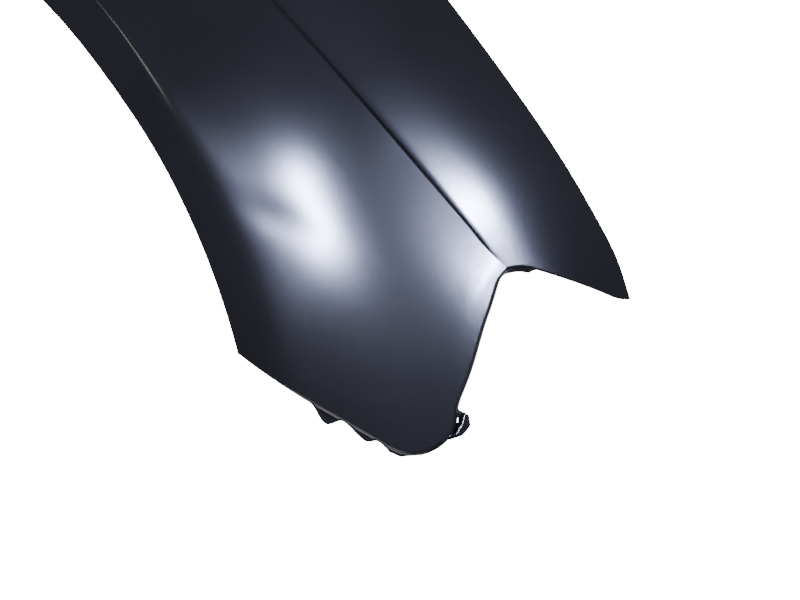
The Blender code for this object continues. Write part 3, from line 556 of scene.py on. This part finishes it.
def side_patch(line_x):
    """Grid of the skin between the arch and the outer edge, rows by columns, and the number of cells along
    the lamp edge, the line and the door edge.  Its first rows keep their distance from the arch."""
    outer, turns, cells = outer_edge(line_x)
    place, width = side_columns(outer, turns)
    band = np.array(BAND_ROWS)[:, None] * BAND_WIDTH
    v_band = band / width
    for _ in range(SOLVE_ROUNDS):
        reached = arch_distance(*np.moveaxis(place(v_band), -1, 0))
        ahead = arch_distance(*np.moveaxis(place(v_band + TINY), -1, 0))
        v_band = v_band + (band - reached) / (ahead - reached) * TINY
    # Where the skin is narrow the rows beside the outer edge are drawn together.
    reach = np.minimum(1, LINE_ROWS_SHARE * width * (1 - v_band[-1]) / LINE_ROWS[0])
    # The last rows follow the step face down from the line.
    on_line = np.zeros(len(width), bool)
    on_line[cells[0]:cells[0] + cells[1] + 1] = True
    drop = np.where(on_line, np.maximum(step_height(outer[:, 0]), FACE_LEAST), STEP_HEIGHTS[-1] * reach)
    v_face = 1 - np.array(FACE_ROWS)[:, None] * drop / width
    for _ in range(SOLVE_ROUNDS):
        flat = place(v_face)
        reached = line_z(flat[..., 0]) - flat[..., 1]
        flat = place(v_face - TINY)
        ahead = line_z(flat[..., 0]) - flat[..., 1]
        wanted = np.array(FACE_ROWS)[:, None] * np.maximum(step_height(flat[..., 0]), FACE_LEAST)
        v_face = v_face - np.where(on_line, (wanted - reached) / (ahead - reached) * TINY, 0)
    v_outer = np.concatenate([v_face[0] - np.array(LINE_ROWS)[:, None] * reach / width, v_face])
    between = (np.arange(1, SKIN_ROWS) / SKIN_ROWS)[:, None] ** SKIN_CROWDING
    v_skin = v_band[-1] + (v_outer[0] - v_band[-1]) * between
    flat = place(np.concatenate([v_band, v_skin, v_outer]))
    return side_skin(flat[..., 0], flat[..., 1]), cells


def strip_patch(line_x):
    """Grid of the skin over the line, rows from the line to the hood edge.  Its columns lean forward at the
    nose, and to the rear end of the hood edge at the door."""
    t = np.array(STRIP_ROWS)[:, None]
    nose = natural_spline(NOSE_T, NOSE_AHEAD)
    forward = ease((line_x - NOTCH_X) / NOSE_REACH_BACK + 1)
    back = ease((DOOR_TOP_X - line_x) / HOOD_REAR_BLEND + 1)
    x = line_x + forward * nose(t) + back * (HOOD_REAR_X - DOOR_TOP_X) * t
    return strip_skin(x, t + 0 * x)


def skin():
    """The two grids of the skin, under and over the line, and the cells along the first one's outer edge."""
    line_x = line_stations()
    side, cells = side_patch(line_x)
    return side, strip_patch(line_x), cells


def unit(v):
    """The vector, or each of several, divided by its length."""
    return v / np.linalg.norm(v, axis=-1, keepdims=True)


def grid_normals(grid):
    """Outward normals of a grid of points, from the differences along its rows and columns."""
    return unit(np.cross(np.gradient(grid, axis=0), np.gradient(grid, axis=1)))


def lobe(x, centre, run_in, run_out, depth):
    """A scallop: a raised cosine, drawn out to one side."""
    d = x - centre
    d = np.clip(np.where(d < 0, d / run_in, d / run_out), -1, 1)
    return depth * (0.5 + 0.5 * np.cos(math.pi * d))


def ledge_drop(x):
    """Height of the bolt ledge: it follows the hood edge, and is level at each pad."""
    z = hood_z(x) - HOOD_WALL
    for pad in PAD_X:
        level = hood_z(pad) - HOOD_WALL
        away = np.abs(x - pad) - PAD_HALF_LENGTH
        z = z + (level - z) * (1 - ease(away / PAD_RAMP))
    return z


def ledge_width(x):
    """Width of the bolt ledge: wide at each pad and narrow between them."""
    width = LEDGE + 0 * x
    for pad in PAD_X:
        away = np.abs(x - pad) - PAD_HALF_LENGTH
        width = width + (PAD - LEDGE) * (1 - ease(away / PAD_RAMP))
    return width


def outline_loop(side, strip, cells):
    """The whole edge of the skin, from the front end of the arch round: its points, their normals and
    outward directions, their distances along the edge, and where each zone of it starts."""
    lamp, line, _ = cells
    n_side = grid_normals(side)
    n_strip = grid_normals(strip)
    zones = (
        ("bumper", side[:, 0], n_side[:, 0]),
        ("lamp", side[-1, 1:lamp + 1], n_side[-1, 1:lamp + 1]),
        ("nose", strip[1:, 0], n_strip[1:, 0]),
        ("hood", strip[-1, 1:], n_strip[-1, 1:]),
        ("cowl", strip[-2::-1, -1], n_strip[-2::-1, -1]),
        ("door", side[-1, lamp + line + 1:], n_side[-1, lamp + line + 1:]),
        ("rocker", side[-2::-1, -1], n_side[-2::-1, -1]),
        ("arch", side[0, -2:0:-1], n_side[0, -2:0:-1]),
    )
    points = np.concatenate([z[1] for z in zones])
    normals = np.concatenate([z[2] for z in zones])
    ahead = np.roll(points, -1, 0) - points
    length = np.linalg.norm(ahead, axis=1)
    s = np.concatenate([[0], np.cumsum(length)[:-1]])
    counts = np.cumsum([0] + [len(z[1]) for z in zones])
    start = {z[0]: s[max(c - 1, 0)] for z, c in zip(zones, counts)}
    start["end"] = s[-1] + length[-1]
    start["door_tab"] = start["door"] + float(line_z(DOOR_TOP_X)) - DOOR_TAB_Z
    before = points - np.roll(points, 1, 0)
    tangent = unit(unit(ahead) + unit(before))
    outward = unit(np.cross(tangent, normals))
    return points, normals, outward, s, start


def wall_direction(s, start, inward):
    """Which way the wall of the rim turns: square to the skin at the bumper joint, then through WALL_TURNS
    round the lamp opening, straight down along the hood edge, and straight inboard along the rest."""
    direction = inward
    for zone, past, blend, new in WALL_TURNS:
        t = ease((s - start[zone] - past) / blend + 0.5)[:, None]
        direction = direction * (1 - t) + np.array(new) * t
    t = (1 - ease(s / RIM_BLEND))[:, None]
    return unit(direction * (1 - t) + INBOARD * t)


def rim_sizes(points, s, start):
    """Depth of the rim's wall and width of the ledge beyond it, at every point of the outline: straight
    lines between the entries of RIM_SIZES, the bolt ledge along the hood edge, and the scallops."""
    table = np.array(sorted((start[zone] + past, deep, wide) for zone, past, deep, wide in RIM_SIZES))
    wall = np.interp(s, table[:, 0], table[:, 1])
    ledge = np.interp(s, table[:, 0], table[:, 2])
    x = points[:, 0]
    in_hood = (s > start["hood"] - CLOSE) & (s <= start["cowl"] + CLOSE)
    grown = ease((s - start["hood"]) / LEDGE_GROWTH)
    wall = np.where(in_hood, NOSE_FLANGE + (hood_z(x) - ledge_drop(x) - NOSE_FLANGE) * grown, wall)
    ledge = np.where(in_hood, FOLD_END + (ledge_width(x) - FOLD_END) * grown, ledge)
    for ahead, run_in, run_out, depth in LOBES:
        hanging = lobe(x, FRONT_X + ahead, run_in, run_out, depth)
        ledge = ledge + np.where(s < start["lamp"] - LOBES_END, hanging, 0)
    return wall, ledge


def rim(points, normals, outward, s, start):
    """Rows of the rim: a quarter circle beside the skin, the wall, the bend at its foot and the ledge."""
    turn = wall_direction(s, start, -normals)
    wall, ledge = rim_sizes(points, s, start)
    x = points[:, 0]
    past_door = ease((s - start["door"]) / RIM_BLEND)
    hood = (ease((s - start["hood"]) / RIM_BLEND + 1) * (1 - past_door))[:, None]
    front = (1 - ease((s - start["lamp"] - TAB_LENGTH) / TAB_BLEND))[:, None]
    tab = ease((s - start["lamp"] + TAB_LEAD) / TAB_BLEND)[:, None]
    hanging = outward * (1 - tab) + np.array(TAB_DIRECTION) * tab
    sideways = unit(turn * (1 - hood) * (1 - front) + INBOARD * hood + hanging * front)
    r = EDGE_RADIUS
    angles = np.radians(BEND_ROWS)
    bend = [points + r * (outward * math.sin(a) + turn * (1 - math.cos(a))) for a in angles]
    foot = points + r * outward + turn * wall[:, None]
    on_hood = (s > start["hood"] + LEDGE_GROWTH) & (s < start["cowl"] - SHEET)
    foot[:, 2] = np.where(on_hood, ledge_drop(x), foot[:, 2])
    end = foot + sideways * ledge[:, None]
    # The foot is a bend of its own: a quadratic curve between a point on the wall and one on the ledge.
    room = np.minimum(np.linalg.norm(foot - bend[-1], axis=1), ledge)
    reach = np.minimum(FOOT_RADIUS, FOOT_SHARE * room)[:, None]
    from_wall = foot + unit(bend[-1] - foot) * reach
    to_ledge = foot + sideways * reach
    curve = [from_wall * (1 - t) ** 2 + foot * 2 * t * (1 - t) + to_ledge * t ** 2 for t in FOOT_ROWS]
    middle = [bend[-1] + (from_wall - bend[-1]) * t for t in WALL_ROWS]
    return np.stack(bend + middle + curve + [to_ledge * 0.5 + end * 0.5, end])


def sheet_mesh():
    """The sheet's outer face: skin, strip and rim as one surface.  Returns points and quads."""
    side, strip, cells = skin()
    lamp, line, _ = cells
    rows, columns = side.shape[:2]
    side_index = np.arange(rows * columns).reshape(rows, columns)
    upper = np.arange((len(strip) - 1) * (line + 1)).reshape(-1, line + 1) + rows * columns
    strip_index = np.concatenate([side_index[-1:, lamp:lamp + line + 1], upper])
    loop_index = np.concatenate([
        side_index[:, 0], side_index[-1, 1:lamp + 1], strip_index[1:, 0], strip_index[-1, 1:],
        strip_index[-2::-1, -1], side_index[-1, lamp + line + 1:], side_index[-2::-1, -1],
        side_index[0, -2:0:-1],
    ])
    points, normals, outward, s, start = outline_loop(side, strip, cells)
    rows_of_rim = rim(points, normals, outward, s, start)
    first = rows * columns + upper.size
    added = np.arange(rows_of_rim[..., 0].size).reshape(len(rows_of_rim), -1) + first
    rim_index = np.concatenate([loop_index[None], added])
    quads = []
    for grid in (side_index, strip_index, np.concatenate([rim_index, rim_index[:, :1]], 1)):
        a, b, c, d = grid[:-1, :-1], grid[:-1, 1:], grid[1:, 1:], grid[1:, :-1]
        quads.append(np.stack([a, b, c, d], -1).reshape(-1, 4))
    every = np.concatenate([side.reshape(-1, 3), strip[1:].reshape(-1, 3), rows_of_rim.reshape(-1, 3)])
    return every, np.concatenate(quads)


def pad_point(pad, ahead=0.0):
    """A point on the upper face of a bolt pad, on its middle line."""
    y = -float(hood_out(pad)) + EDGE_RADIUS + PAD / 2
    return np.array((pad + ahead, y, float(ledge_drop(np.array(pad)))))


# The panel's own origin, on the underside of the second bolt pad, and the point that the camera is aimed at
ORIGIN = pad_point(PAD_X[1], -HOLE_AHEAD / 2) - np.array((0, 0, SHEET))
AIM = Vector(CAMERA_AIM) - Vector(ORIGIN)


def tab_wall_point():
    """Where the small slot lies in the corner tab: its middle, the edge's direction and the wall's."""
    points, normals, outward, s, start = outline_loop(*skin())
    at = int(np.argmin(np.abs(s - start["lamp"] - TAB_SLOT_UP)))
    turn = wall_direction(s, start, -normals)[at]
    middle = points[at] + EDGE_RADIUS * outward[at] + turn * TAB_SLOT_IN
    return middle - ORIGIN, points[at + 1] - points[at - 1], turn


def slot_prism(work, centre, along, across, length, width):
    """Adds a closed prism with round ends to the mesh being built: a cutter for a round or long hole."""
    along = unit(np.array(along, float))
    across = np.array(across, float)
    across = unit(across - along * (across @ along))
    through = np.cross(along, across)
    half = (length - width) / 2
    turns = np.linspace(-math.pi / 2, math.pi / 2, HOLE_SIDES // 2 + 1)
    u = np.concatenate([half + width / 2 * np.cos(turns), -half - width / 2 * np.cos(turns)])
    v = np.concatenate([width / 2 * np.sin(turns), -width / 2 * np.sin(turns)])
    if half == 0:
        u = width / 2 * np.cos(np.arange(HOLE_SIDES) * 2 * math.pi / HOLE_SIDES)
        v = width / 2 * np.sin(np.arange(HOLE_SIDES) * 2 * math.pi / HOLE_SIDES)
    ring = centre + u[:, None] * along + v[:, None] * across
    low = [work.verts.new(p) for p in ring - through * CUT_DEPTH]
    high = [work.verts.new(p) for p in ring + through * CUT_DEPTH]
    work.faces.new(low[::-1])
    work.faces.new(high)
    for i in range(len(low)):
        j = (i + 1) % len(low)
        work.faces.new((low[i], low[j], high[j], high[i]))


def hole_cutter():
    """Cutter for every hole: bolt pads, rocker flange, hinge-pillar tab, arch lip and corner tab.  Every
    other bolt pad has a long hole."""
    work = bmesh.new()
    x_axis, y_axis, z_axis = np.eye(3)
    for i, pad in enumerate(PAD_X):
        length = SLOT_LENGTH if i % 2 == 0 else BOLT_HOLE
        slot_prism(work, pad_point(pad, HOLE_AHEAD) - ORIGIN, x_axis, y_axis, length, BOLT_HOLE)
    rocker_x = DOOR_X[-1] + ROCKER_HOLE_FROM_DOOR
    skin_y = side_skin(rocker_x, ROCKER_Z)[1]
    flange = np.array((rocker_x, skin_y + ROCKER_FLANGE * ROCKER_HOLE_SHARE, ROCKER_Z))
    slot_prism(work, flange - ORIGIN, x_axis, y_axis, BOLT_HOLE, BOLT_HOLE)
    door = natural_spline(DOOR_Z[::-1] + (float(line_z(DOOR_TOP_X)),), DOOR_X[::-1] + (DOOR_TOP_X,))
    door_x = float(door(DOOR_TAB_Z))
    tab = np.array((door_x, side_skin(door_x, DOOR_TAB_Z)[1] + DOOR_TAB * DOOR_HOLE_SHARE, DOOR_TAB_Z))
    slot_prism(work, tab - ORIGIN, z_axis, y_axis, BOLT_HOLE, BOLT_HOLE)
    for angle in LIP_HOLE_ANGLES:
        x, z = arch_point(np.array(angle))
        lip = np.array((x, side_skin(x, z)[1] + LIP * LIP_HOLE_SHARE, z))
        tangent = (-math.sin(math.radians(angle)), 0, math.cos(math.radians(angle)))
        slot_prism(work, lip - ORIGIN, tangent, y_axis, LIP_HOLE, LIP_HOLE)
    slot_prism(work, *tab_wall_point(), TAB_SLOT_LENGTH, TAB_SLOT_WIDTH)
    bmesh.ops.recalc_face_normals(work, faces=work.faces)
    mesh = bpy.data.meshes.new("hole_cutter")
    work.to_mesh(mesh)
    work.free()
    cutter = bpy.data.objects.new("hole_cutter", mesh)
    bpy.context.collection.objects.link(cutter)
    return cutter


def noise(tree, scale, detail):
    """Output of a noise pattern that is fixed to the panel."""
    place = tree.nodes.new("ShaderNodeTexCoord")
    pattern = tree.nodes.new("ShaderNodeTexNoise")
    pattern.inputs["Scale"].default_value = scale
    pattern.inputs["Detail"].default_value = detail
    tree.links.new(place.outputs["Object"], pattern.inputs["Vector"])
    return pattern.outputs["Fac"]


def primer():
    """Satin black primer, baked on: near-black, a soft gloss that varies a little, a faint orange peel."""
    material = bpy.data.materials.new("satin_black_primer")
    material.use_nodes = True
    tree = material.node_tree
    nodes = tree.nodes
    link = tree.links.new
    shader = nodes["Principled BSDF"]
    shader.inputs["IOR"].default_value = PRIMER_IOR
    cloud = noise(tree, CLOUD_SCALE, CLOUD_DETAIL)

    gloss = nodes.new("ShaderNodeMapRange")
    gloss.inputs["From Min"].default_value = CLOUD_FROM
    gloss.inputs["From Max"].default_value = CLOUD_TO
    gloss.inputs["To Min"].default_value = PRIMER_GLOSSY
    gloss.inputs["To Max"].default_value = PRIMER_DULL
    link(cloud, gloss.inputs["Value"])
    link(gloss.outputs["Result"], shader.inputs["Roughness"])

    colour = nodes.new("ShaderNodeValToRGB")
    deep, pale = colour.color_ramp.elements
    deep.position = CLOUD_FROM
    deep.color = PRIMER_DEEP
    pale.position = CLOUD_TO
    pale.color = PRIMER_PALE
    link(cloud, colour.inputs["Fac"])
    link(colour.outputs["Color"], shader.inputs["Base Color"])

    bump = nodes.new("ShaderNodeBump")
    bump.inputs["Strength"].default_value = PEEL_STRENGTH
    bump.inputs["Distance"].default_value = PEEL_HEIGHT
    link(noise(tree, PEEL_SCALE, PEEL_DETAIL), bump.inputs["Height"])
    link(bump.outputs["Normal"], shader.inputs["Normal"])
    return material


def fender():
    """The panel: one sheet given its thickness on the inside, with its holes cut."""
    points, quads = sheet_mesh()
    mesh = bpy.data.meshes.new("fender_skin")
    mesh.from_pydata((points - ORIGIN).tolist(), [], quads.tolist())
    mesh.flip_normals()
    mesh.materials.append(primer())
    panel = bpy.data.objects.new("fender_skin", mesh)
    bpy.context.collection.objects.link(panel)
    thickness = panel.modifiers.new("sheet", "SOLIDIFY")
    thickness.thickness = SHEET
    thickness.offset = -1
    thickness.use_even_offset = True
    thickness.use_quality_normals = True
    cutter = hole_cutter()
    holes = panel.modifiers.new("holes", "BOOLEAN")
    holes.operation = "DIFFERENCE"
    holes.solver = "EXACT"
    holes.object = cutter
    bpy.context.view_layer.update()
    cut = bpy.data.meshes.new_from_object(panel.evaluated_get(bpy.context.evaluated_depsgraph_get()))
    panel.modifiers.clear()
    panel.data = cut
    bpy.data.objects.remove(cutter)
    cut.shade_smooth()
    cut.set_sharp_from_angle(angle=math.radians(SHARP_ANGLE))
    return panel


def facing(azimuth, elevation, distance, turn):
    """Placement of a light or camera that looks at the aim from a direction, turned about that direction.
    All angles are in degrees, and azimuth 0 looks along +Y."""
    a = math.radians(azimuth)
    e = math.radians(elevation)
    away = Vector((math.sin(a) * math.cos(e), -math.cos(a) * math.cos(e), math.sin(e)))
    across = Vector((math.cos(a), math.sin(a), 0))
    spin = Matrix.Rotation(math.radians(turn), 3, away)
    axes = Matrix((spin @ across, spin @ away.cross(across), away)).transposed()
    return Matrix.LocRotScale(AIM + away * distance, axes.to_quaternion(), None)


def camera():
    """The camera at the photograph's angle, with a long lens."""
    lens = bpy.data.cameras.new("camera")
    lens.sensor_width = SENSOR_WIDTH
    lens.lens = LENS
    item = bpy.data.objects.new("camera", lens)
    item.matrix_world = facing(CAMERA_AZIMUTH, CAMERA_ELEVATION, CAMERA_DISTANCE, CAMERA_ROLL)
    bpy.context.collection.objects.link(item)
    bpy.context.scene.camera = item


def surround():
    """A world that the camera sees as white and that lights the panel only dimly."""
    world = bpy.data.worlds.new("studio")
    world.use_nodes = True
    bpy.context.scene.world = world
    nodes = world.node_tree.nodes
    link = world.node_tree.links.new
    dim = nodes["Background"]
    dim.inputs["Color"].default_value = DIM_COLOUR
    dim.inputs["Strength"].default_value = DIM_STRENGTH
    white = nodes.new("ShaderNodeBackground")
    white.inputs["Color"].default_value = WHITE
    white.inputs["Strength"].default_value = WHITE_STRENGTH
    seen = nodes.new("ShaderNodeLightPath")
    mix = nodes.new("ShaderNodeMixShader")
    link(seen.outputs["Is Camera Ray"], mix.inputs["Fac"])
    link(dim.outputs["Background"], mix.inputs[1])
    link(white.outputs["Background"], mix.inputs[2])
    link(mix.outputs["Shader"], nodes["World Output"].inputs["Surface"])


def pale_floor():
    """A pale floor at the panel's lowest point, which the panel doesn't reflect and isn't lit by."""
    mesh = bpy.data.meshes.new("floor")
    low = cad_box[0][2]
    corners = ((-1, -1), (1, -1), (1, 1), (-1, 1))
    mesh.from_pydata([(x * FLOOR_REACH, y * FLOOR_REACH, low) for x, y in corners], [], [(0, 1, 2, 3)])
    floor = bpy.data.objects.new("floor", mesh)
    bpy.context.collection.objects.link(floor)
    material = bpy.data.materials.new("floor")
    material.use_nodes = True
    shader = material.node_tree.nodes["Principled BSDF"]
    shader.inputs["Base Color"].default_value = FLOOR_COLOUR
    shader.inputs["Roughness"].default_value = FLOOR_ROUGHNESS
    shader.inputs["Emission Color"].default_value = WHITE
    shader.inputs["Emission Strength"].default_value = WHITE_STRENGTH
    mesh.materials.append(material)
    floor.visible_glossy = False
    floor.visible_diffuse = False


def lights():
    """Two soft boxes for the highlights, beside the arch and across the line, a low strip for the crease of
    the arch band, and a card each for the flanges at the front and for the back."""
    for name, azimuth, elevation, width, height, turn, radiance, colour in LIGHTS:
        light = bpy.data.lights.new(name, "AREA")
        light.shape = "RECTANGLE"
        light.size = width
        light.size_y = height
        light.energy = radiance * math.pi * width * height
        light.color = colour
        item = bpy.data.objects.new(name, light)
        item.matrix_world = facing(azimuth, elevation, LIGHT_DISTANCE, turn)
        bpy.context.collection.objects.link(item)


panel = fender()
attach(panel, "root")
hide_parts("fender_panel")
camera()
surround()
pale_floor()
lights()
